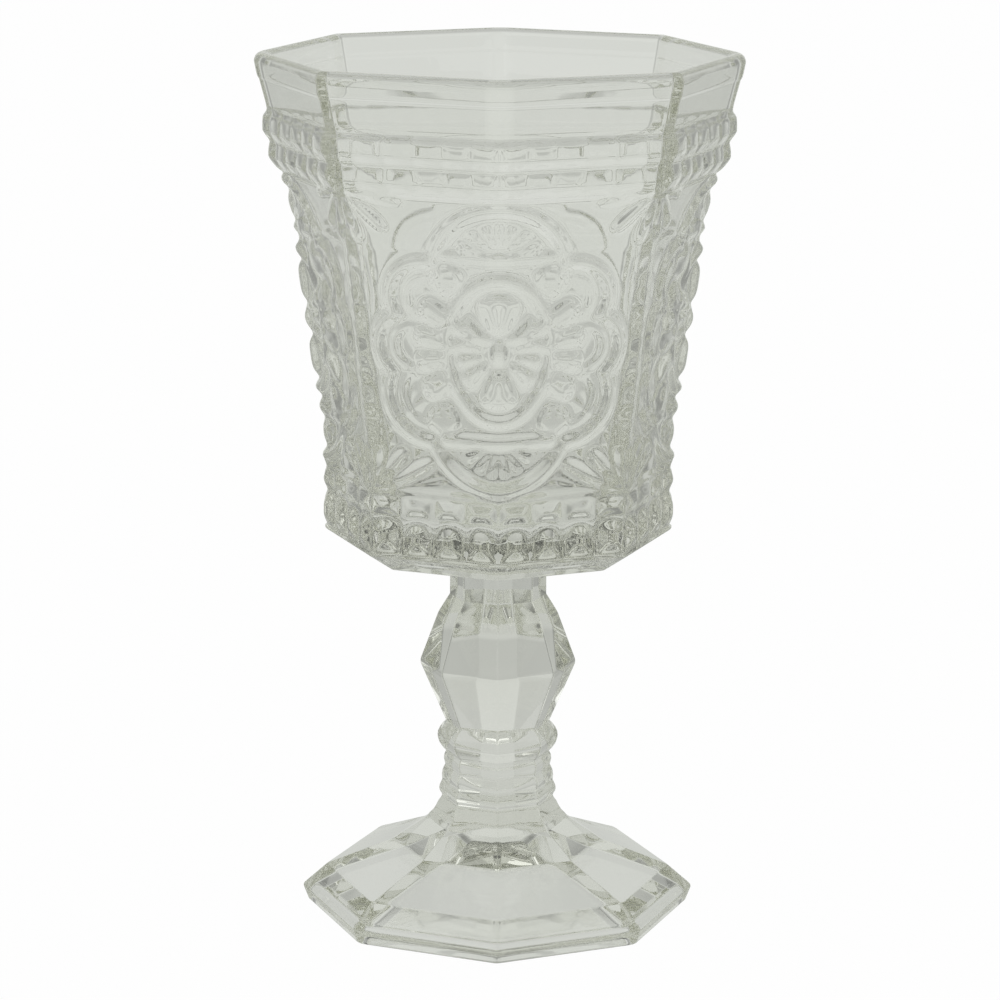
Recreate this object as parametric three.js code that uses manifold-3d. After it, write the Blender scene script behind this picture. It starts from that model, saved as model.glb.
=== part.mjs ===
// Stemmed drinking glass in clear pressed glass: an eight-sided bowl on a collar, a faceted knop,
// a ringed shank and a spreading foot. Its pieces are pressed apart and fused while hot, so each one
// stands on the flat end of the piece below it.
// Millimetres, +Z up. The origin is the centre of the face that the foot stands on.
// Every radius is taken at a corner of the eight-sided plan, and one corner points to the front, -Y.

import * as THREE from 'three';
import { mergeVertices } from 'three/addons/utils/BufferGeometryUtils.js';
import Module from 'manifold-3d';

const wasm = await Module();
wasm.setup();

const sides = 8;

// Foot: a resting ring round a hollow underside, a low steep band, a flat slope and a steeper neck
const footHeight = 17.0;
const footRestRadius = 36.6;
const footRestWidth = 1.6;
const footEdgeRadius = 37.8;
const footEdgeHeight = 3.1;
const footShoulderRadius = 32.9;
const footShoulderHeight = 7.4;
const footNeckRadius = 20.0;
const footNeckHeight = 12.5;
const footWallRun = 1.2;
const footWallHeight = 1.8;
const footDomeHeight = 8.7;
const footDomeTopRadius = 5.8;

// Ringed shank: it flares onto the foot, and its grooves taper up to the knop
const shankFlareRadius = 13.6;
const shankFlareHeight = 4.2;
const shankLowRadius = 10.7;
const waistRadius = 9.95;
const lowRingHeight = 3.2;
const lowRingProud = 0.65;
const middleRingHeight = 3.2;
const middleRingProud = 0.35;
const highRingHeight = 2.7;
const highRingProud = 0.4;
const topRingHeight = 6.1;
const topRingProud = 1.6;
const shankRings = [
  { height: lowRingHeight, proud: lowRingProud },
  { height: middleRingHeight, proud: middleRingProud },
  { height: highRingHeight, proud: highRingProud },
  { height: topRingHeight, proud: topRingProud },
];

// Knop: a tall upper cone and a shorter lower one that meet at the widest edge
const knopLowerHeight = 11.8;
const knopUpperHeight = 9.8;
const knopShoulderHeight = 3.6;
const knopEdgeRadius = 15.0;
const knopShoulderRadius = 11.5;

// Collar
const collarRadius = 9.2;
const collarHeight = 9.3;

// Bowl, from its underside up to the lip
const undersideRadius = 27.0;
const bevelHeight = 3.9;
const blockBandRadius = 33.0;
const blockBandHeight = 12.2;
const bodyLowRadius = 32.6;
const bodyLowHeight = 9.0;
const bodyHighRadius = 37.9;
const bodyHeight = 37.0;
const flareRadius = 40.3;
const flareHeight = 9.6;
const lowerBeadRadius = 42.8;
const lowerBeadHeight = 6.2;
const upperBeadRadius = 43.8;
const upperBeadHeight = 5.6;
const rimLowRadius = 43.2;
const rimRadius = 45.5;
const rimHeight = 9.0;
const beadShoulder = 0.9;
const lipThickness = 3.2;
const rimWall = 2.92;
const flareWall = 2.68;
const bodyWall = 2.43;
const heelWall = 9.0;
const heelRun = 4.0;
const heelHeight = 3.6;
const bowlFloorThickness = 5.7;

// Medallions: one over the front, back and side corners each, with its middle at this height in the bowl.
// Widths are measured along the flats from the corner, and rises from the middle.
const medallionMiddle = 44.1;
const ribProud = 1.0;
const ribTopWidth = 1.0;
const ribRootWidth = 3.2;
const ribRootDepth = 0.5;
const ovalHalfWidth = 9.75;
const ovalHalfHeight = 13.2;
const topLobeRise = 14.0;
const topLobeRadius = 12.4;
const shoulderLobeAcross = 13.5;
const shoulderLobeRise = 9.3;
const shoulderLobeRadius = 6.8;
const sideLobeAcross = 16.5;
const sideLobeRadius = 6.8;
const hipLobeAcross = 13.6;
const hipLobeDrop = 9.0;
const hipLobeRadius = 8.6;
const lowLobeDrop = 11.5;
const lowLobeRadius = 14.75;
const frameLobes = [
  { across: 0, rise: topLobeRise, radius: topLobeRadius },
  { across: shoulderLobeAcross, rise: shoulderLobeRise, radius: shoulderLobeRadius },
  { across: sideLobeAcross, rise: 0, radius: sideLobeRadius },
  { across: hipLobeAcross, rise: -hipLobeDrop, radius: hipLobeRadius },
  { across: 0, rise: -lowLobeDrop, radius: lowLobeRadius },
];

// Flower inside the oval: leaves about a boss, by their turn from upright and half their spread in degrees
const bossHalfWidth = 1.8;
const bossHalfHeight = 2.6;
const flowerStart = 3.2;
const flowerReach = 0.84;
const flowerLeaves = [
  { turn: 0, spread: 27 },
  { turn: 52, spread: 13 },
  { turn: 79, spread: 12 },
  { turn: 105, spread: 12 },
  { turn: 131, spread: 13 },
  { turn: 180, spread: 25 },
  { turn: 229, spread: 13 },
  { turn: 255, spread: 12 },
  { turn: 281, spread: 12 },
  { turn: 308, spread: 13 },
];

const clearGlass = {
  color: 0xd8dcd6,
  roughness: 0.06,
  metalness: 0,
  transparent: true,
  opacity: 0.4,
};

// One pressed shape: its half section, given as [corner radius, height] from the axis round to the
// axis again, turned about Z in as many flats as the plan has sides.
function pressedShape(section) {
  const points = section.map(([radius, height]) => new THREE.Vector2(radius, height));
  const geometry = new THREE.LatheGeometry(points, sides);
  geometry.rotateX(Math.PI / 2);
  return geometry;
}

// A rounded swelling between two heights: half a sine wave on top of a straight taper.
function swelling(lowRadius, highRadius, start, height, proud, steps = 6) {
  const points = [];
  for (let step = 1; step <= steps; step += 1) {
    const share = step / steps;
    const taper = THREE.MathUtils.lerp(lowRadius, highRadius, share);
    points.push([taper + proud * Math.sin(Math.PI * share), start + height * share]);
  }
  return points;
}

// Inside the resting ring, a short steep wall rises to a dome that eases toward its small flat top.
function footSection() {
  const hollowRadius = footRestRadius - footRestWidth;
  const domeRadius = hollowRadius - footWallRun;
  const bend = 1.19;
  const dome = [];
  const steps = 7;
  for (let step = 0; step <= steps; step += 1) {
    const share = step / steps;
    const radius = THREE.MathUtils.lerp(footDomeTopRadius, domeRadius, share);
    dome.push([radius, footWallHeight + footDomeHeight * (1 - share ** bend)]);
  }
  return [
    [0, footWallHeight + footDomeHeight],
    ...dome,
    [hollowRadius, 0],
    [footRestRadius, 0],
    [footEdgeRadius, footEdgeHeight],
    [footShoulderRadius, footShoulderHeight],
    [footNeckRadius, footNeckHeight],
    [shankFlareRadius, footHeight],
    [0, footHeight],
  ];
}

// Above its flare the shank is a pile of rings. The radius of the groove under each ring is read off
// the straight taper from the top of the flare to the waist below the knop.
const ringsHeight = shankRings.reduce((sum, ring) => sum + ring.height, 0);
const shankHeight = shankFlareHeight + ringsHeight;

function shankSection() {
  const grooveAt = (risen) => THREE.MathUtils.lerp(shankLowRadius, waistRadius, risen / ringsHeight);
  const flare = [];
  const steps = 4;
  for (let step = 0; step <= steps; step += 1) {
    const angle = (step / steps) * (Math.PI / 2);
    const spread = (shankFlareRadius - shankLowRadius) * (1 - Math.sin(angle));
    flare.push([shankLowRadius + spread, shankFlareHeight * (1 - Math.cos(angle))]);
  }
  const rings = [];
  let risen = 0;
  for (const { height, proud } of shankRings) {
    const low = grooveAt(risen);
    const high = grooveAt(risen + height);
    rings.push(...swelling(low, high, shankFlareHeight + risen, height, proud));
    risen += height;
  }
  return [[0, 0], ...flare, ...rings, [0, shankHeight]];
}

const knopHeight = knopLowerHeight + knopUpperHeight + knopShoulderHeight;

function knopSection() {
  return [
    [0, 0],
    [waistRadius, 0],
    [knopEdgeRadius, knopLowerHeight],
    [knopShoulderRadius, knopLowerHeight + knopUpperHeight],
    [collarRadius, knopHeight],
    [0, knopHeight],
  ];
}

function collarSection() {
  return [[0, 0], [collarRadius, 0], [collarRadius, collarHeight], [0, collarHeight]];
}

const bandTop = bevelHeight + blockBandHeight;
const bodyStart = bandTop + bodyLowHeight;
const flareStart = bodyStart + bodyHeight;
const beadStart = flareStart + flareHeight;
const upperBeadStart = beadStart + lowerBeadHeight;
const rimStart = upperBeadStart + upperBeadHeight;
const lipStart = rimStart + rimHeight;

// The bowl's inside is the plunger's draught, from the heel above the floor to the lip. It keeps the wall's
// thickness at each change of slope outside, and the lip is a half round as wide as the wall.
function bowlSection() {
  const lipRound = lipThickness / 2;
  const heelRadius = bodyLowRadius - heelWall;
  const lip = [];
  const steps = 6;
  for (let step = 0; step <= steps; step += 1) {
    const angle = (step / steps) * Math.PI;
    const inward = lipRound * (1 - Math.cos(angle));
    lip.push([rimRadius - inward, lipStart + lipRound * Math.sin(angle)]);
  }
  return [
    [0, 0],
    [undersideRadius, 0],
    [blockBandRadius, bevelHeight],
    [blockBandRadius, bandTop],
    [bodyLowRadius, bandTop + beadShoulder],
    [bodyLowRadius, bodyStart],
    [bodyHighRadius, flareStart],
    [flareRadius, beadStart],
    [lowerBeadRadius, beadStart + 2 * beadShoulder],
    [lowerBeadRadius, upperBeadStart - beadShoulder],
    [rimLowRadius, upperBeadStart],
    [upperBeadRadius, upperBeadStart + beadShoulder],
    [upperBeadRadius, rimStart - beadShoulder],
    [rimLowRadius, rimStart],
    ...lip,
    [rimLowRadius - rimWall, rimStart],
    [flareRadius - flareWall, beadStart],
    [bodyHighRadius - bodyWall, flareStart],
    [heelRadius, bowlFloorThickness + heelHeight],
    [heelRadius - heelRun, bowlFloorThickness],
    [0, bowlFloorThickness],
  ];
}

// The corner radius of the outer wall where the medallions lie: upright, then the body's slope, then the flare
function wallRadius(height) {
  if (height < bodyStart) return bodyLowRadius;
  if (height < flareStart) {
    return THREE.MathUtils.mapLinear(height, bodyStart, flareStart, bodyLowRadius, bodyHighRadius);
  }
  return THREE.MathUtils.mapLinear(height, flareStart, beadStart, bodyHighRadius, flareRadius);
}

// The flats beside the front corner: the turn from one corner to the next, their width at the medallion's
// middle, and how close to the corner counts as on it
const flatTurn = (2 * Math.PI) / sides;
const flatWidth = 2 * wallRadius(medallionMiddle) * Math.sin(flatTurn / 2);
const cornerReach = 1e-6;

// A place on the front medallion: so far across from the corner along a flat, so far above the medallion's
// middle, and so far out from the wall. The corner itself moves straight out to the front.
function wallPoint(across, rise, out) {
  const height = medallionMiddle + rise;
  const radius = wallRadius(height);
  const share = Math.abs(across) / flatWidth;
  const hand = Math.abs(across) < cornerReach ? 0 : Math.sign(across);
  const facing = hand * (flatTurn / 2);
  const sideways = hand * radius * share * Math.sin(flatTurn);
  const forward = radius * (1 - share * (1 - Math.cos(flatTurn)));
  return [sideways + out * Math.sin(facing), -(forward + out * Math.cos(facing)), height];
}

// A geometry from its points, as a flat list, and the triangles between them
function faceted(positions, triangles) {
  const geometry = new THREE.BufferGeometry();
  geometry.setAttribute('position', new THREE.BufferAttribute(Float32Array.from(positions), 3));
  geometry.setIndex(new THREE.BufferAttribute(Uint32Array.from(triangles), 1));
  return geometry;
}

// A cast rib along a closed line on the wall: a trapezium, narrow on top, whose root is let into the wall.
// The line runs with the clock as seen from the front.
function wallRib(line) {
  const positions = [];
  const triangles = [];
  const count = line.length;
  line.forEach(([across, rise], place) => {
    const [lastAcross, lastRise] = line[(place + count - 1) % count];
    const [nextAcross, nextRise] = line[(place + 1) % count];
    const outward = new THREE.Vector2(lastRise - nextRise, nextAcross - lastAcross).normalize();
    const corners = [
      [-ribRootWidth / 2, -ribRootDepth],
      [-ribTopWidth / 2, ribProud],
      [ribTopWidth / 2, ribProud],
      [ribRootWidth / 2, -ribRootDepth],
    ];
    corners.forEach(([aside, out], corner) => {
      positions.push(...wallPoint(across + aside * outward.x, rise + aside * outward.y, out));
      const beside = (corner + 1) % corners.length;
      const here = place * corners.length;
      const onward = ((place + 1) % count) * corners.length;
      triangles.push(here + corner, onward + beside, here + beside);
      triangles.push(here + corner, onward + corner, onward + beside);
    });
  });
  return faceted(positions, triangles);
}

// A cast leaf on the wall: a hipped roof over a long diamond, from one tip to the other along its turn.
function wallLeaf(turn, start, end, halfWidth) {
  const middle = (start + end) / 2;
  const halfRidge = (end - start) / 5;
  const corners = [
    [start, 0, -ribRootDepth],
    [middle, halfWidth, -ribRootDepth],
    [end, 0, -ribRootDepth],
    [middle, -halfWidth, -ribRootDepth],
    [middle - halfRidge, 0, ribProud],
    [middle + halfRidge, 0, ribProud],
  ];
  const positions = corners.flatMap(([along, aside, out]) => {
    const across = along * Math.sin(turn) + aside * Math.cos(turn);
    const rise = along * Math.cos(turn) - aside * Math.sin(turn);
    return wallPoint(across, rise, out);
  });
  const slopes = [0, 1, 4, 1, 5, 4, 1, 2, 5, 2, 3, 5, 3, 4, 5, 3, 0, 4];
  const root = [0, 2, 1, 0, 3, 2];
  return faceted(positions, [...slopes, ...root]);
}

// How far the oval lies from the medallion's middle, in a turn from upright
function ovalReach(turn) {
  return 1 / Math.hypot(Math.sin(turn) / ovalHalfWidth, Math.cos(turn) / ovalHalfHeight);
}

// How far the frame lies from the medallion's middle: where a straight line leaves the last of the lobes
function frameReach(turn) {
  const right = Math.abs(Math.sin(turn));
  const up = Math.cos(turn);
  const reaches = frameLobes.map(({ across, rise, radius }) => {
    const along = across * right + rise * up;
    const aside = across * up - rise * right;
    return Math.abs(aside) < radius ? along + Math.sqrt(radius * radius - aside * aside) : 0;
  });
  return Math.max(...reaches);
}

// A closed line round the medallion's middle, with the clock, from its reach in each turn
function ringLine(reachAt, steps) {
  return Array.from({ length: steps }, (unused, step) => {
    const turn = (step / steps) * 2 * Math.PI;
    return [reachAt(turn) * Math.sin(turn), reachAt(turn) * Math.cos(turn)];
  });
}

// The cast relief of the front medallion: its frame, its oval, the boss and the leaves of the flower
function medallionRelief() {
  const leaves = flowerLeaves.map(({ turn, spread }) => {
    const angle = THREE.MathUtils.degToRad(turn);
    const end = flowerReach * ovalReach(angle);
    const halfWidth = ((flowerStart + end) / 2) * Math.tan(THREE.MathUtils.degToRad(spread));
    return wallLeaf(angle, flowerStart, end, halfWidth);
  });
  const boss = wallLeaf(0, -bossHalfHeight, bossHalfHeight, bossHalfWidth);
  return [wallRib(ringLine(frameReach, 48)), wallRib(ringLine(ovalReach, 24)), boss, ...leaves];
}

// A closed geometry as a solid: points that fall together are merged, and triangles left without area go
function asSolid(geometry) {
  const bare = geometry.clone();
  bare.deleteAttribute('normal');
  bare.deleteAttribute('uv');
  const { index, attributes } = mergeVertices(bare);
  const triangles = [];
  for (let first = 0; first < index.count; first += 3) {
    const corners = [index.getX(first), index.getX(first + 1), index.getX(first + 2)];
    if (new Set(corners).size === corners.length) triangles.push(...corners);
  }
  const vertProperties = Float32Array.from(attributes.position.array);
  const triVerts = Uint32Array.from(triangles);
  return new wasm.Manifold(new wasm.Mesh({ numProp: 3, vertProperties, triVerts }));
}

// The bowl with a medallion on each of its four quarters, joined into one body
function bowlShape() {
  const quarters = 4;
  let bowl = asSolid(pressedShape(bowlSection()));
  for (const relief of medallionRelief()) {
    for (let quarter = 0; quarter < quarters; quarter += 1) {
      bowl = bowl.add(asSolid(relief.clone().rotateZ((quarter / quarters) * 2 * Math.PI)));
    }
  }
  const { vertProperties, triVerts } = bowl.getMesh();
  const geometry = faceted(vertProperties, triVerts);
  geometry.computeVertexNormals();
  return geometry;
}

// The pieces in the order they stand on each other, from the foot up
const pieces = [
  { name: 'foot', shape: pressedShape(footSection()), height: footHeight },
  { name: 'ringed_shank', shape: pressedShape(shankSection()), height: shankHeight },
  { name: 'stem_knop', shape: pressedShape(knopSection()), height: knopHeight },
  { name: 'stem_collar', shape: pressedShape(collarSection()), height: collarHeight },
  { name: 'bowl', shape: bowlShape(), height: 0 },
];

const goblet = new THREE.Group();
let seat = 0;
for (const { name, shape, height } of pieces) {
  const piece = new THREE.Mesh(shape, new THREE.MeshStandardMaterial(clearGlass));
  piece.name = name;
  piece.position.z = seat;
  goblet.add(piece);
  seat += height;
}

export default goblet;
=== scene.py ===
# Stemmed drinking glass in clear pressed glass, standing empty on a pale table.
# Lengths are in metres, written as millimetres times mm. Up is +Z, and a corner of the eight-sided plan
# points to the front, -Y. A radius is measured over the front, back and side corners.

import bpy
import numpy as np
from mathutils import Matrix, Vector


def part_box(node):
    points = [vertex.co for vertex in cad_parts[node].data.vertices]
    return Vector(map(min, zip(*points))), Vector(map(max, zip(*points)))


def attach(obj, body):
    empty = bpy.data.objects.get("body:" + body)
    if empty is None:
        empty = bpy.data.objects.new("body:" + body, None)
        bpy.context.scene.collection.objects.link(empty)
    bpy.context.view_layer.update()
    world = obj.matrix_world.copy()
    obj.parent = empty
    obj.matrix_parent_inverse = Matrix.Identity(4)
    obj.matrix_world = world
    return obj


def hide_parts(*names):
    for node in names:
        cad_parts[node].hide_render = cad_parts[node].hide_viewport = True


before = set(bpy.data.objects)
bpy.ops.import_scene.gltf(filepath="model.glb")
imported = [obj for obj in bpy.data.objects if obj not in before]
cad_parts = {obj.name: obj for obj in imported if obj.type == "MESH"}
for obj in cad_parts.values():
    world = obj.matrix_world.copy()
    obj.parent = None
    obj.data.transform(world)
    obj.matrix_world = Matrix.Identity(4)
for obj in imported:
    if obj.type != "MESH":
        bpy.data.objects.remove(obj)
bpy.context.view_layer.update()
scene = bpy.context.scene
mm = 0.001


# Foot
# The spreading eight-sided base, pressed in clear glass with flat facets: a low steep band, a flat slope
# and a steeper neck. It stands on a narrow ring round its hollow underside, and the shank is fused hot onto
# the flat on its top.

foot_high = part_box("foot")[1]
foot_top = foot_high.z
foot_edge_radius = foot_high.x
foot_rest_radius = 36.6 * mm
foot_edge_height = 3.1 * mm
foot_shoulder_radius = 32.9 * mm
foot_shoulder_height = 7.4 * mm
foot_neck_radius = 20.0 * mm
foot_neck_height = 12.5 * mm
foot_soft_corner = 1.5 * mm
foot_crisp_corner = 3.0 * mm
shank_flare_radius = 13.6 * mm
hollow_radius = 35.0 * mm
hollow_wall_radius = 33.8 * mm
hollow_wall_height = 1.8 * mm
dome_radius = 32.6 * mm
dome_base = 2.2 * mm
dome_rise = 9.2 * mm
dome_top = 10.5 * mm
dome_bend = 1.3


def eight_sided_plan(soft, crisp, soft_steps, crisp_steps, slide):
    """Columns round the eight-sided plan, from the front corner and back to it, as complex numbers x + iy.
    A column's point is radius * reach + inset. On a corner, reach points to the corner, and inset is the
    rounding's radius times the turning outward direction less the corner's direction / cos 22.5 degrees.
    On a flat, both slide straight from one rounding to the next. Corners to the front, back and sides have
    the soft rounding, those between them the crisp one. One face is worked out, mirrored, and turned."""
    half = np.pi / 8
    soft_corner = 1
    crisp_corner = np.exp(2j * half)
    face = np.exp(1j * half)
    soft_turn = np.exp(1j * np.linspace(0, half, soft_steps, endpoint=False))
    crisp_turn = np.exp(1j * np.linspace(2 * half, half, crisp_steps, endpoint=False))[::-1]
    soft_end = soft * (face - soft_corner / np.cos(half))
    crisp_end = crisp * (face - crisp_corner / np.cos(half))
    reach = np.concatenate([
        np.full(soft_steps, soft_corner),
        soft_corner + slide * (crisp_corner - soft_corner),
        np.full(crisp_steps, crisp_corner),
    ])
    inset = np.concatenate([
        soft * (soft_turn - soft_corner / np.cos(half)),
        soft_end + slide * (crisp_end - soft_end),
        crisp * (crisp_turn - crisp_corner / np.cos(half)),
    ])
    outward = np.concatenate([soft_turn, np.full(len(slide), face), crisp_turn])
    half_panel = np.stack([reach, inset, outward])
    mirrored = np.conj(half_panel[:, -2:0:-1]) * np.exp(4j * half)
    panel = np.concatenate([half_panel, mirrored], axis=1)
    quarters = np.exp(4j * half * np.arange(-1, 3))
    return (quarters[None, :, None] * panel[:, None, :]).reshape(3, -1)


def softened(corners, cuts, steps=6):
    """The line through the corners with each inner corner eased: a parabola leaves the line one cut before
    the corner and joins the next line one cut after it. A point just outside each end keeps flats flat."""
    just_outside = 1.5
    corners = np.asarray(corners, float)
    cuts = np.asarray(cuts, float)[:, None, None]
    middle = corners[1:-1, None, :]
    back = corners[:-2, None, :] - middle
    onward = corners[2:, None, :] - middle
    back = back / np.linalg.norm(back, axis=2, keepdims=True)
    onward = onward / np.linalg.norm(onward, axis=2, keepdims=True)
    start = middle + cuts * back
    end = middle + cuts * onward
    share = np.linspace(0, 1, steps)[None, :, None]
    curve = (1 - share) ** 2 * start + 2 * share * (1 - share) * middle + share**2 * end
    before = middle + just_outside * cuts * back
    after = middle + just_outside * cuts * onward
    eased = np.concatenate([before, curve, after], axis=1)
    return np.concatenate([corners[:1], eased.reshape(-1, 2), corners[-1:]])


def pressed_piece(name, plan, section, rounding=1.0, relief=0.0, fused=(False, False)):
    """A closed piece: each row of the section, a radius and a height, is carried round the plan, with its
    roundings scaled by rounding and moved along the outward direction by relief, and a point on the axis
    closes either end. An end that is fused to a neighbour is marked as seam and keeps a sharp edge."""
    reach, inset, outward = plan
    radius, height = section.T
    rounding = np.broadcast_to(rounding, radius.shape)
    corner = radius - rounding * (inset[0] / reach[0]).real
    rows, columns = len(radius), len(reach)
    spread = corner[:, None] * reach + rounding[:, None] * inset + relief * outward
    points = np.empty((rows * columns + 2, 3))
    points[:-2, 0] = spread.real.ravel()
    points[:-2, 1] = spread.imag.ravel()
    points[:-2, 2] = np.repeat(height, columns)
    points[-2:] = [[0, 0, height[0]], [0, 0, height[-1]]]

    around = np.arange(columns)
    beside = (around + 1) % columns
    start = np.arange(rows - 1)[:, None] * columns
    above = start + columns
    wall = np.stack([start + around, start + beside, above + beside, above + around], axis=-1)
    last = (rows - 1) * columns
    low_end = np.stack([np.full(columns, rows * columns), beside, around], axis=-1)
    high_end = np.stack([np.full(columns, rows * columns + 1), last + around, last + beside], axis=-1)
    faces = wall.reshape(-1, 4).tolist() + low_end.tolist() + high_end.tolist()
    mesh = bpy.data.meshes.new(name)
    mesh.from_pydata(points, [], faces)

    seam = np.zeros(len(faces))
    seam[-2 * columns:-columns] = fused[0]
    seam[-columns:] = fused[1]
    mesh.attributes.new("seam", "FLOAT", "FACE").data.foreach_set("value", seam)
    mesh.polygons.foreach_set("use_smooth", np.ones(len(faces), bool))
    ends = np.empty(2 * len(mesh.edges), int)
    mesh.edges.foreach_get("vertices", ends)
    ends = ends.reshape(-1, 2)
    rim_low = np.all(ends < columns, axis=1) & fused[0]
    rim_high = np.all((ends >= last) & (ends < rows * columns), axis=1) & fused[1]
    mesh.edges.foreach_set("use_edge_sharp", rim_low | rim_high)
    mesh.update()
    piece = bpy.data.objects.new(name, mesh)
    scene.collection.objects.link(piece)
    return piece


class Shade:
    """A socket of a finish. Sums, differences, products and powers add Math nodes."""

    def __init__(self, tree, socket=None):
        self.tree = tree
        self.socket = socket

    def add(self, kind, settings, sockets, out=0):
        """A new node: its settings first, then a number, a colour or a link for each socket."""
        node = self.tree.nodes.new(kind)
        for name, value in settings.items():
            setattr(node, name, value)
        for name, value in sockets.items():
            if isinstance(value, Shade):
                self.tree.links.new(value.socket, node.inputs[name])
            else:
                node.inputs[name].default_value = value
        return Shade(self.tree, node.outputs[out]) if node.outputs else None

    def beside(self, out):
        """Another output of the node that this socket is on."""
        return Shade(self.tree, self.socket.node.outputs[out])

    def math(self, operation, first, second=0.0):
        """One Math node on one or two values."""
        return self.add("ShaderNodeMath", {"operation": operation}, {0: first, 1: second})

    def __add__(self, other):
        return self.math("ADD", self, other)

    def __radd__(self, other):
        return self.math("ADD", other, self)

    def __sub__(self, other):
        return self.math("SUBTRACT", self, other)

    def __rsub__(self, other):
        return self.math("SUBTRACT", other, self)

    def __mul__(self, other):
        return self.math("MULTIPLY", self, other)

    def __rmul__(self, other):
        return self.math("MULTIPLY", other, self)

    def __pow__(self, other):
        return self.math("POWER", self, other)

    def ramp(self, start, end, low, high):
        """A smooth change from low to high as this value goes from start to end."""
        settings = {"interpolation_type": "SMOOTHSTEP"}
        return self.add("ShaderNodeMapRange", settings, {0: self, 1: start, 2: end, 3: low, 4: high})

    def between(self, low, high):
        """The colour low where this value is 0, and high where it is 1."""
        return self.add("ShaderNodeMix", {"data_type": "RGBA"}, {0: self, 6: low, 7: high}, out=2)


def bare_nodes(owner):
    """Clears the nodes of a new material or world, and gives the Shade that its first node is added from."""
    owner.use_nodes = True
    owner.node_tree.nodes.clear()
    return Shade(owner.node_tree)


# The glass: pressed in an iron mould, so its skin is faintly uneven, and its grey-green tint varies a
# little with the melt. The resting edge is dulled by use. Where two pieces are fused the glass runs on
# without a surface, so the seam's faces are clear.
glass_bend = 1.51
pale_melt = (0.99, 0.992, 0.985, 1)
tinted_melt = (0.975, 0.98, 0.965, 1)
depth_colour = (0.5, 0.515, 0.35, 1)
depth_strength = 6.0
polish = 0.006
skin_dullness = 0.012
wear_dullness = 0.16
wear_height = 1.2 * mm
skin_height = 0.12 * mm

clear_glass = bpy.data.materials.new("clear_glass")
glass = bare_nodes(clear_glass)
place = glass.add("ShaderNodeTexCoord", {}, {}, out="Object")
melt = glass.add("ShaderNodeTexNoise", {}, {"Vector": place, "Scale": 38.0, "Detail": 2.0})
skin = glass.add("ShaderNodeTexNoise", {}, {
    "Vector": place,
    "Scale": 170.0,
    "Detail": 2.0,
    "Roughness": 0.45,
})
pits = glass.add("ShaderNodeTexNoise", {}, {"Vector": place, "Scale": 900.0, "Detail": 1.0})
up = glass.add("ShaderNodeSeparateXYZ", {}, {0: place}, out=2)
worn = up.ramp(0.0, wear_height, 1.0, 0.0)
seam = glass.add("ShaderNodeAttribute", {"attribute_name": "seam"}, {}, out="Fac")
uneven = glass.add("ShaderNodeBump", {}, {"Strength": 0.15, "Distance": skin_height, "Height": skin})
surface = glass.add("ShaderNodeBsdfPrincipled", {}, {
    "Base Color": melt.ramp(0.35, 0.65, 0.0, 1.0).between(pale_melt, tinted_melt),
    "Roughness": polish + skin_dullness * skin + wear_dullness * worn * pits,
    "IOR": glass_bend,
    "Transmission Weight": 1.0,
    "Normal": uneven,
    "Alpha": 1.0 - seam,
})
depth = glass.add("ShaderNodeVolumeAbsorption", {}, {"Color": depth_colour, "Density": depth_strength})
glass.add("ShaderNodeOutputMaterial", {"target": "ALL"}, {"Surface": surface, "Volume": depth})


def dress(piece, node):
    """Gives a pressed piece its finish and puts it in the place of its solid."""
    piece.data.materials.append(clear_glass)
    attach(piece, "root")
    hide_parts(node)


facet_slide = np.array([0.0, 0.05, 0.5, 0.95, 1.0])
foot_plan = eight_sided_plan(foot_soft_corner, foot_crisp_corner, 4, 6, facet_slide)

# The dome of the underside, from near the axis out to the wall: its height falls with a power of the
# distance from the axis, and its top is flat.
dome_share = np.linspace(0.03, 1, 60)
dome_height = np.minimum(dome_base + dome_rise * (1 - dome_share**dome_bend), dome_top)
dome = np.stack([dome_radius * dome_share, dome_height], axis=1)
foot_side = softened(
    [
        (dome_radius + 0.1 * mm, dome_base - 0.04 * mm),
        (hollow_wall_radius, hollow_wall_height),
        (hollow_radius, 0),
        (foot_rest_radius, 0),
        (foot_edge_radius, foot_edge_height),
        (foot_shoulder_radius, foot_shoulder_height),
        (foot_neck_radius, foot_neck_height),
        (shank_flare_radius, foot_top),
    ],
    [0.6 * mm, 0.3 * mm, 0.4 * mm, 0.5 * mm, 0.4 * mm, 0.6 * mm],
)
foot_section = np.concatenate([dome, foot_side])

# The corners are rounded fully on the band and in the hollow, tighter on the slope and towards the axis.
slope_rounding = 0.25
fused_rounding = 0.2
fully_rounded_radius = 30 * mm
on_slope = foot_section[:, 1] > foot_shoulder_height
on_slope[:len(dome)] = False
foot_rounding = np.where(on_slope, slope_rounding, 1.0)
foot_rounding = foot_rounding * np.clip(foot_section[:, 0] / fully_rounded_radius, 0, 1)
foot_rounding[-1] = fused_rounding
foot = pressed_piece("foot_pressed", foot_plan, foot_section, foot_rounding, fused=(False, True))
dress(foot, "foot")


# Ringed shank
# The short eight-sided stem of clear glass between the foot and the knop, with four pressed rings under a
# narrow waist. It flares at its base, where it is fused to the foot, and its top is fused to the knop.

shank_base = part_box("ringed_shank")[0].z
shank_corner = 0.9 * mm
seam_gap = 0.004 * mm

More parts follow.
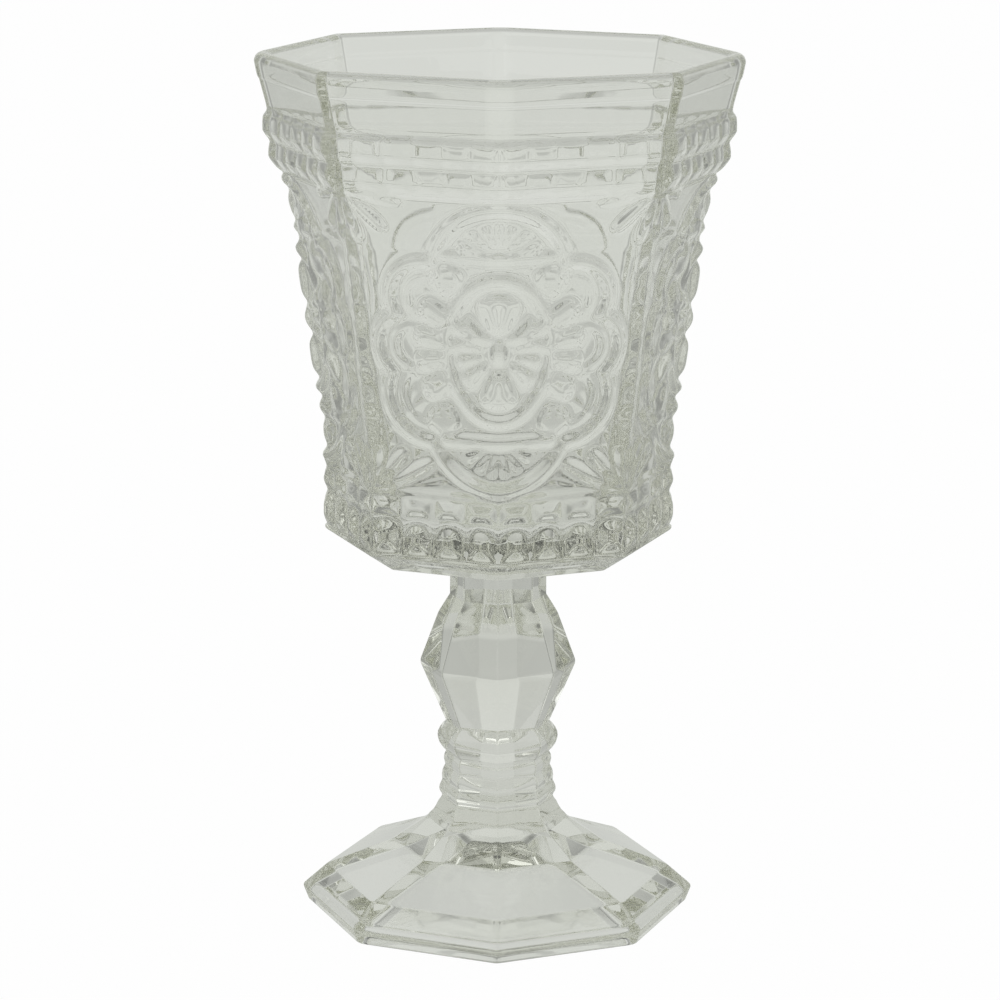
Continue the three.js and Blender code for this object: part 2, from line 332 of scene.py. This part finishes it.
# The outline, radius and height above the base in millimetres, from the flare up to the waist.
flare = [(13.6, 0.0), (13.2, 0.6), (12.4, 1.4), (11.9, 2.2), (11.4, 3.2), (10.9, 3.9), (10.7, 4.3)]
low_ring = [(10.85, 4.75), (11.15, 5.2), (11.28, 5.7), (11.2, 6.3), (10.9, 7.0), (10.66, 7.5)]
flat_ring = [(10.7, 8.0), (10.75, 8.5), (10.6, 9.5), (10.3, 10.2), (10.08, 10.6)]
narrow_ring = [(10.25, 11.2), (10.37, 11.8), (10.3, 12.5), (10.1, 13.0), (9.9, 13.3)]
high_ring = [(10.5, 13.9), (11.15, 14.8), (11.5, 15.8), (11.59, 16.5), (11.5, 17.2), (11.1, 18.1)]
waist = [(10.5, 18.9), (9.95, 19.4)]
waist_radius = waist[-1][0] * mm
shank_section = np.array(flare + low_ring + flat_ring + narrow_ring + high_ring + waist) * mm
shank_section[:, 1] += shank_base
shank_section[0, 1] += seam_gap
shank_plan = eight_sided_plan(shank_corner, shank_corner, 3, 3, facet_slide)
shank = pressed_piece("ringed_shank_pressed", shank_plan, shank_section, fused=(True, True))
dress(shank, "ringed_shank")


# Knop
# The solid faceted swelling in the middle of the stem, pressed in clear glass: eight long facets above its
# widest edge and eight below it. Both its ends are fused, to the shank and to the collar.

knop_low, knop_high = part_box("stem_knop")
collar_low, collar_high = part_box("stem_collar")
collar_radius = collar_high.x
knop_edge_radius = knop_high.x
knop_edge_height = knop_low.z + 11.8 * mm
knop_shoulder_radius = 11.4 * mm
knop_shoulder_height = knop_low.z + 21.6 * mm
stem_corner = 0.7 * mm
stem_plan = eight_sided_plan(stem_corner, stem_corner, 3, 3, facet_slide)
knop_section = softened(
    [
        (waist_radius, knop_low.z + seam_gap),
        (knop_edge_radius, knop_edge_height),
        (knop_shoulder_radius, knop_shoulder_height),
        (collar_radius, knop_high.z),
    ],
    [0.8 * mm, 0.6 * mm],
)
knop = pressed_piece("knop_pressed", stem_plan, knop_section, fused=(True, True))
dress(knop, "stem_knop")


# Collar
# The plain eight-sided neck of clear glass under the bowl. It is pressed with the knop's plan, and fused to
# the knop below and to the bowl's underside above.

collar_end = 0.4 * mm
collar_section = np.array([
    (collar_radius, collar_low.z + seam_gap),
    (collar_radius, collar_low.z + collar_end),
    (collar_radius, collar_high.z - collar_end),
    (collar_radius, collar_high.z - seam_gap),
])
collar = pressed_piece("collar_pressed", stem_plan, collar_section, fused=(True, True))
dress(collar, "stem_collar")


# Bowl
# The deep eight-sided cup of clear glass, pressed in one go: the mould cuts the ornament outside, two rows
# of beads, a lobed medallion on each pair of flats and a band of blocks, and a plunger leaves the inside
# smooth. Its flat underside is fused to the collar.

bowl_low, bowl_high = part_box("bowl")
bowl_base = bowl_low.z
bowl_top = bowl_high.z
bowl_soft_corner = 6.0 * mm
bowl_crisp_corner = 0.5 * mm
bevel_base_radius = 27.0 * mm
lip_thickness = 3.2 * mm
inner_turn_radius = 23.6 * mm
inner_turn_height = 80.2 * mm
floor_edge_radius = 19.6 * mm
floor_middle_radius = 4.0 * mm
floor_height = 76.6 * mm

# The wall behind the ornament, radius and height in millimetres, and the heights of the rows of points up
# it, which lie closest where the ornament is finest.
band_radius = 33.0
band_low = 74.7
band_wall = [(band_radius, band_low), (band_radius, 86.8)]
body_wall = [(32.4, 88.2), (32.8, 96.0), (37.85, 133.0), (39.2, 139.0), (40.0, 142.5)]
lower_bead_wall = [(41.3, 143.3), (42.7, 145.6), (42.7, 148.4)]
upper_bead_wall = [(43.0, 149.0), (43.76, 150.5), (43.76, 153.2), (43.3, 154.2)]
rim_wall = [(43.3, 154.8), (45.55, 163.4)]
wall_line = np.array(band_wall + body_wall + lower_bead_wall + upper_bead_wall + rim_wall)
outer_heights = np.concatenate([
    np.linspace(75.1, 86.8, 27),
    np.linspace(87.2, 142.3, 112),
    np.linspace(142.7, 154.5, 28),
    np.linspace(155.5, 159.6, 4),
    np.linspace(159.9, 160.7, 5),
    np.linspace(161.4, 163.4, 3),
])
outer_radii = np.interp(outer_heights, wall_line[:, 1], wall_line[:, 0])
panel_width = 27.1


def rib(distance, half_width):
    """A rounded rib: 1 on its middle line and a parabola down to 0 at half_width on either side."""
    return np.clip(1 - (distance / half_width) ** 2, 0, 1)


def leaf(across, height, start, end, width):
    """A pressed leaf, pointed at start and round at end: a rib about the line between them, whose half
    width grows with the root of the way along it and closes in a round end."""
    start = np.array(start)
    run = np.array(end) - start
    length = np.hypot(*run)
    along = ((across - start[0]) * run[0] + (height - start[1]) * run[1]) / length**2
    aside = ((across - start[0]) * run[1] - (height - start[1]) * run[0]) / length
    inside = np.clip(along, 1e-4, 1)
    half_width = width * np.sqrt(inside) * np.sqrt(np.clip(1 - inside**5, 1e-4, 1))
    return rib(aside, half_width) * (along > 0) * (along < 1)


def petals(angle, axes, halves):
    """Petals side by side: the highest of the ribs about each axis angle, in degrees."""
    return np.max(rib(angle[..., None] - np.array(axes), np.array(halves)), axis=-1)


def fan(across, rise, relief, axes, middle, half_length):
    """Petals of one width spread above the point where across and rise are 0, about the axis angles. Each
    is a rib along its axis too, about the distance middle from the point."""
    petal_half = np.full(len(axes), 13)
    spread = 1.25
    angle = np.degrees(np.arctan2(across, rise))
    reach = np.hypot(across / spread, rise)
    return relief * petals(angle, axes, petal_half) * rib(reach - middle, half_length) * (rise > 0)


def medallion(across, height):
    """The ornament of one pair of flats, in millimetres out from the wall, for the distance across from
    the middle corner and the height: rib outlines of a lobed frame and an oval, and the flowers and
    petals inside them."""
    outline_half = 1.3
    frame_lobes = np.array([
        (0, 129.0, 12.4),
        (13.5, 124.3, 6.8),
        (16.5, 115.0, 6.8),
        (13.6, 106.0, 8.6),
        (0, 103.5, 14.75),
    ])
    to_middles = np.hypot(across[..., None] - frame_lobes[:, 0], height[..., None] - frame_lobes[:, 1])
    to_frame = np.min(to_middles - frame_lobes[:, 2], axis=-1)
    frame_rib = rib(to_frame, outline_half)
    inner_rib = 0.3 * rib(to_frame + 3.0, 0.8) * (across > 13.5)

    oval_wide = 9.75
    oval_tall = 13.2
    over_oval = height - 115.1
    level = np.hypot(across / oval_wide, over_oval / oval_tall)
    safe_level = np.maximum(level, 0.05)
    slope = np.hypot(across / oval_wide**2, over_oval / oval_tall**2) / safe_level
    to_oval = (level - 1) / np.maximum(slope, 0.02)
    oval_rib = 1.05 * rib(to_oval, outline_half)

    flower_height = 114.9
    flower_eye = 3.2
    flower_fill = 0.84
    flower_axes = [0, 52, 79, 105, 131, 180]
    flower_halves = [27, 13, 12, 12, 13, 25]
    angle = np.degrees(np.arctan2(across, height - flower_height))
    reach = np.hypot(across, height - flower_height)
    petal_length = np.maximum(flower_fill * reach / safe_level - flower_eye, 0.5)
    flower_share = np.clip((reach - flower_eye) / petal_length, 0, 1)
    flower = 1.1 * petals(angle, flower_axes, flower_halves) * (1 - (2 * flower_share - 1) ** 4)
    boss = 1.15 * rib(np.hypot(across / 1.8, (height - 115.0) / 2.6), 1)

    oval_margin = 0.9
    lobe_length = 5.6
    lobe_axes = np.array([62, 81, 99, 119])
    lobe_halves = np.array([10.5, 9.5, 9.5, 11])
    lobe_share = np.clip((to_oval - oval_margin) / lobe_length, 0, 1)
    lobe_level = ((angle[..., None] - lobe_axes) / lobe_halves) ** 2 + lobe_share[..., None] ** 4
    lobes = 0.9 * np.sqrt(np.clip(1 - np.min(lobe_level, axis=-1), 0, 1)) * (to_oval > oval_margin)
    top_button = rib(np.hypot(across - 9.6, height - 128.1), 3.2)
    low_button = rib(np.hypot(across - 10.9, height - 101.6), 3.4)
    buttons = 0.9 * np.sqrt(np.maximum(top_button, low_button)) * (to_oval > oval_margin)

    top_bar = 0.8 * rib(height - 132.4, 1.1) * np.clip(11.2 - across, 0, 1)
    low_bar = 0.85 * rib(height - 98.1, 1.6) * np.clip(12.2 - across, 0, 1)
    top_fan = fan(across, height - 132.6, 0.7, [0, 26, 52, 78], 3.9, 2.7)
    low_fan = fan(across, 97.6 - height, 0.6, [13, 39, 65, 88], 4.0, 2.6)
    inside = np.max([flower, boss, lobes, buttons, inner_rib, top_bar, low_bar, top_fan, low_fan], axis=0)
    return np.max([frame_rib, oval_rib, inside * (to_frame < 0)], axis=0)


def corner_ornament(across, height):
    """The fans of leaves above and below each crisp corner and the notched rib between them."""
    notch_pitch = 3.1
    rib_notches = 0.75 + 0.25 * np.cos(2 * np.pi * height / notch_pitch)
    rib_ends = np.clip((136.0 - height) / 1.5, 0, 1) * np.clip((height - 94.5) / 1.5, 0, 1)
    corner_rib = 0.45 * rib(panel_width - across, 2.2) * rib_notches * rib_ends
    leaf_lines = [
        ((25.9, 143.0), (16.9, 141.8), 1.35),
        ((25.9, 142.4), (20.2, 136.4), 1.6),
        ((26.6, 142.2), (25.0, 134.2), 1.4),
        ((26.4, 87.6), (25.4, 95.6), 1.4),
        ((26.2, 87.4), (19.2, 95.0), 2.3),
        ((25.6, 87.2), (13.8, 93.4), 1.7),
    ]
    leaves = [0.9 * leaf(across, height, *line) for line in leaf_lines]
    return np.max([corner_rib, *leaves], axis=0)


def beads(across, height):
    """Two rows of rounded beads, six to a flat, whose last one is shared over the crisp corner."""
    pitch = panel_width / 6
    beside = np.abs((across % pitch) / pitch * 2 - 1)
    shared = np.clip((panel_width - across) / pitch, 0, 1)
    beside = np.where(across > panel_width - pitch, shared, beside)
    upper = 1 - np.clip(np.abs(height - 151.4) / 2.7, 0, 1) ** 3
    lower = 1 - np.clip(np.abs(height - 146.0) / 2.6, 0, 1) ** 3
    return 0.45 * np.sqrt(np.clip(1 - beside**3, 0, 1)) * np.maximum(upper, lower)


def blocks(across, height):
    """The band at the foot of the bowl: blocks cut like low pyramids with flat tops over round-topped
    pointed ones, four to a flat. The grooves between them lie half a millimetre behind the wall."""
    groove = 0.5
    arch_gap = 0.15
    arch_height = 79.4
    pitch = panel_width / 4
    beside = (across % pitch) - pitch / 2
    to_side = pitch / 2 - np.abs(beside)
    to_edge = np.minimum(to_side, np.minimum(86.7 - height, height - 82.3))
    flat_blocks = np.clip(to_edge / 2.0, 0, 1)
    to_top = pitch / 2 - arch_gap - np.hypot(beside, height - arch_height)
    to_arch = np.where(height > arch_height, to_top, to_side - arch_gap)
    pointed = 1.2 * np.clip(np.minimum(to_arch, height - 75.3) / 2.4, 0, 1)
    return np.maximum(flat_blocks, pointed) - groove


def bowl_relief(across, height):
    """All of the pressed ornament over the outer wall, in millimetres, plus the mould's parting line round
    the plain band under the lip."""
    band_top = 87.0
    pattern = np.maximum(medallion(across, height), corner_ornament(across, height))
    body = pattern * (height > band_top) * (height < 143.4)
    band = blocks(across, height) * (height < band_top)
    rows = beads(across, height) * (height > 143.2) * (height < 154.3)
    parting = 0.2 * np.clip((height - 160.1) / 0.4, 0, 1) * np.clip((163.4 - height) / 1.5, 0, 1)
    return body + band + rows + parting


def fire_polished(relief):
    """The relief as the flame leaves it, its edges rounded: each value becomes the mean of itself and its
    neighbours, weighted 1, 2, 1 up and down and round the bowl."""
    padded = np.pad(relief, ((1, 1), (0, 0)), mode="edge")
    upright = (padded[:-2] + 2 * padded[1:-1] + padded[2:]) / 4
    return (np.roll(upright, 1, axis=1) + 2 * upright + np.roll(upright, -1, axis=1)) / 4


# How far each column lies across its flat: 0 on the soft corner in the middle of a medallion, and
# panel_width on the crisp corner, worked out on the wall's middle radius from the turn between them.
bowl_plan = eight_sided_plan(bowl_soft_corner, bowl_crisp_corner, 7, 3, np.linspace(0, 1, 48))
reach, inset = bowl_plan[:2]
middle_radius = 35.4
eighth = np.pi / 8
spot = middle_radius * mm * reach + inset
from_soft_corner = np.abs((np.angle(spot * 1j) + 2 * eighth) % (4 * eighth) - 2 * eighth)
flat_half = middle_radius * np.sin(eighth)
flat_distance = np.cos(eighth) * middle_radius
along_flat = flat_distance * np.tan(np.clip(from_soft_corner, 0, 2 * eighth) - eighth) + flat_half
across = along_flat * panel_width / (2 * flat_half)

# The section runs from the underside up the outer wall, over the lip and down the inside to the floor. The
# underside's last two points lie on the wall, which brings its own rows, so the underside stops before them.
underside = softened(
    [
        (collar_radius, bowl_base),
        (bevel_base_radius, bowl_base),
        (band_radius * mm, band_low * mm),
        (band_radius * mm, 76.0 * mm),
    ],
    [0.5 * mm, 0.25 * mm],
    steps=4,
)[:-2]
outer = np.stack([outer_radii, outer_heights], axis=1) * mm
rim_radius, rim_height = outer[-1]
lip_turn = np.linspace(0.08, 0.92, 8) * np.pi
lip_half = lip_thickness / 2
lip = np.stack([
    rim_radius - lip_half * (1 - np.cos(lip_turn)),
    rim_height + (bowl_top - rim_height) * np.sin(lip_turn),
], axis=1)
inside = softened(
    [
        (rim_radius - lip_thickness, rim_height),
        (inner_turn_radius, inner_turn_height),
        (floor_edge_radius, floor_height),
        (floor_middle_radius, floor_height),
    ],
    [3.0 * mm, 2.5 * mm],
    steps=5,
)
bowl_section = np.concatenate([underside, outer, lip, inside])
first = len(underside)
relief = np.zeros((len(bowl_section), len(across)))
grid_across, grid_height = np.meshgrid(across, outer_heights)
relief[first:first + len(outer)] = fire_polished(bowl_relief(grid_across, grid_height)) * mm
fully_rounded_bowl_radius = 26 * mm
bowl_rounding = np.clip(bowl_section[:, 0] / fully_rounded_bowl_radius, 0, 1)
bowl_rounding[0] = 0.12
bowl = pressed_piece("bowl_pressed", bowl_plan, bowl_section, bowl_rounding, relief, fused=(True, False))
dress(bowl, "bowl")


# Table
# A plain pale table top that runs out of sight, lit evenly. What the glass shows of it is the soft grey of
# a studio sweep: in shade under the glass and in a ring round it, and darker in four narrow bands on the
# diagonals.

table_reach = 6.0
table_drop = 0.1 * mm
table_mesh = bpy.data.meshes.new("table_top")
table_corners = np.array([(-1, -1), (1, -1), (1, 1), (-1, 1)]) * table_reach
table_points = np.column_stack([table_corners, np.full(4, -table_drop)])
table_mesh.from_pydata(table_points, [], [(0, 1, 2, 3)])
table = bpy.data.objects.new("table_top", table_mesh)
scene.collection.objects.link(table)


def dark_bands(shade, x, y):
    """Four narrow bands of the sweep that are darker, 0.5 in their middle and 0 between them, from the
    cosine of four times the angle about the upright axis."""
    turn = shade.math("ARCTAN2", x, y)
    wave = shade.math("COSINE", turn * 4.0)
    return 0.5 * (0.5 - wave * 0.5) ** 4.0


black = (0, 0, 0, 1)
white = (1, 1, 1, 1)
sweep_colour = (0.70, 0.715, 0.68, 1)
shade_under_glass = 0.09
shade_in_ring = 0.22
white_share = 0.985
pale = bpy.data.materials.new("pale_table")
tone = bare_nodes(pale)
table_spot = tone.add("ShaderNodeTexCoord", {}, {}, out="Object")
table_x = tone.add("ShaderNodeSeparateXYZ", {}, {0: table_spot})
table_y = table_x.beside(1)
away = tone.add("ShaderNodeVectorMath", {"operation": "LENGTH"}, {0: table_spot}, out="Value")
bands = dark_bands(tone, table_x, table_y) * away.ramp(0.03, 0.15, 0.0, 1.0)
ring_start = away.ramp(0.10, 0.20, shade_under_glass, shade_in_ring)
ring_end = away.ramp(0.27, 0.44, 1.0, 0.0)
sweep = (1.0 - bands) * (1.0 - ring_start * ring_end)
grain = tone.add("ShaderNodeTexNoise", {}, {"Vector": table_spot, "Scale": 60.0, "Detail": 3.0})
table_tone = grain.between((0.86, 0.86, 0.85, 1), (0.9, 0.9, 0.89, 1))
table_grey = sweep.between(black, sweep_colour)
table_lit = tone.add("ShaderNodeBsdfDiffuse", {}, {"Color": table_tone})
table_white = tone.add("ShaderNodeEmission", {}, {"Color": white, "Strength": 1.0})
table_seen = tone.add("ShaderNodeEmission", {}, {"Color": table_grey, "Strength": 1.0})
by_eye = tone.add("ShaderNodeLightPath", {}, {}, out="Is Camera Ray")
by_glass = tone.math("MAXIMUM", by_eye.beside("Is Glossy Ray"), by_eye.beside("Is Transmission Ray"))
to_eye = tone.add("ShaderNodeMixShader", {}, {0: by_eye * white_share, 1: table_lit, 2: table_white})
table_surface = tone.add("ShaderNodeMixShader", {}, {0: by_glass, 1: to_eye, 2: table_seen})
tone.add("ShaderNodeOutputMaterial", {"target": "ALL"}, {"Surface": table_surface})
table_mesh.materials.append(pale)


# Studio
# A white backdrop for the eye. The glass shows it as the table's grey sweep with the same darker bands,
# under a dimmer ceiling. Two broad soft lamps hang to the left and to the right of the front.

ceiling_dimming = 0.2
world = bpy.data.worlds.new("studio")
scene.world = world
sky = bare_nodes(world)
heading = sky.add("ShaderNodeTexCoord", {}, {}, out="Generated")
sky_x = sky.add("ShaderNodeSeparateXYZ", {}, {0: heading})
sky_y = sky_x.beside(1)
sky_z = sky_x.beside(2)
ceiling = sky_z.ramp(0.45, 0.85, 1.0, ceiling_dimming)
sky_sweep = (1.0 - dark_bands(sky, sky_x, sky_y)) * ceiling
sky_grey = sky_sweep.between(black, sweep_colour)
sky_by_eye = sky.add("ShaderNodeLightPath", {}, {}, out="Is Camera Ray")
sky_tone = sky_by_eye.between(sky_grey, white)
backdrop = sky.add("ShaderNodeBackground", {}, {"Color": sky_tone, "Strength": 1.0})
sky.add("ShaderNodeOutputWorld", {"target": "ALL"}, {"Surface": backdrop})


def soft_lamp(name, place, power):
    """A square soft lamp at place, turned to face the middle of the glass."""
    lamp_aim = Vector((0, 0, 0.08))
    lamp_data = bpy.data.lights.new(name, "AREA")
    lamp_data.size = 1.6
    lamp_data.energy = power
    lamp = bpy.data.objects.new(name, lamp_data)
    lamp.location = place
    lamp.rotation_euler = (lamp_aim - Vector(place)).to_track_quat("-Z", "Y").to_euler()
    scene.collection.objects.link(lamp)


soft_lamp("key_lamp", (-0.9, -0.7, 1.3), 5.0)
soft_lamp("fill_lamp", (1.2, -0.3, 1.1), 3.5)


# Camera
# A long lens in front of the glass, above its rim and tilted down to its middle. Light goes through many
# walls of glass on its way to the lens, so it is followed for many turns.

camera_tilt = 13.04
camera_roll = 0.2
light_turns = 64
camera_data = bpy.data.cameras.new("camera")
camera_data.sensor_width = 36.0
camera_data.lens = 136.0
camera = bpy.data.objects.new("camera", camera_data)
camera.location = (0.3 * mm, -0.700, 0.242)
camera.rotation_mode = "ZXY"
camera.rotation_euler = np.radians([90 - camera_tilt, 0, camera_roll])
scene.collection.objects.link(camera)
scene.camera = camera
scene.view_settings.view_transform = "Standard"
scene.cycles.max_bounces = light_turns
scene.cycles.transmission_bounces = light_turns
scene.cycles.glossy_bounces = light_turns
scene.cycles.transparent_max_bounces = 32
